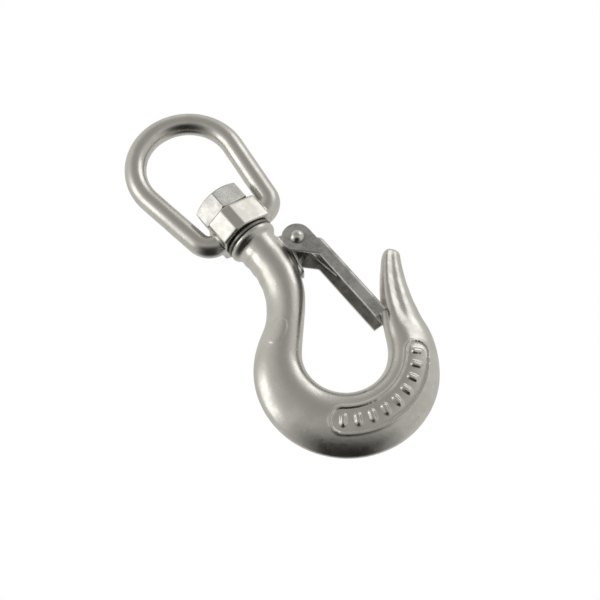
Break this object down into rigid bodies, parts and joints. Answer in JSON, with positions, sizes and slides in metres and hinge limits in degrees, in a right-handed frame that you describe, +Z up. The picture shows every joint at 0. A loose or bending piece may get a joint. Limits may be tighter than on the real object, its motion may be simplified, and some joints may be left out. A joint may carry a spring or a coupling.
{
  "type": "swivel hook",
  "caption": "Swivel hook with a round eye, a hexagon nut above the boss, a bowl-shaped hook and a sprung latch across its throat.",
  "frame": {"origin": "bearing point at the inside of the eye's crown, where the hook hangs", "axes": "+Z up along the swivel axis, +X from the neck to the throat and the tip, +Y through the thickness"},
  "size_m": [0.0677, 0.0192, 0.138],
  "materials": {
    "cast_eye": "tumbled and lightly polished stainless casting",
    "cast_hook": "tumbled and lightly polished stainless casting",
    "turned_nut": "satin, fine machining marks",
    "pin": "satin",
    "washer": "dull, darker than the castings",
    "latch_sheet": "matt rolled sheet with bright cut edges",
    "rivet": "polished dome with set marks",
    "spring_wire": "drawn wire, bright"
  },
  "bodies": {
    "eye": {"swivel_eye": "cast_eye"},
    "hook": {"hook_body": "cast_hook", "swivel_nut": "turned_nut", "nut_lock_pin": "pin", "thrust_washer": "washer", "latch_rivet": "rivet", "latch_spring": "spring_wire"},
    "latch_flap": {"latch": "latch_sheet"}
  },
  "joints": [
    {"name": "swivel", "type": "hinge", "parent": "eye", "child": "hook", "pos_m": [0, 0, -0.0414], "axis": [0, 0, 1], "continuous": true},
    {"name": "latch_pivot", "type": "hinge", "parent": "hook", "child": "latch_flap", "pos_m": [0.0103, 0, -0.05825], "axis": [0, 1, 0], "range_deg": [0, 40], "stiffness_Nm_per_rad": 0.05, "springref_deg": -34.38, "deforming": ["latch_spring"]}
  ]
}
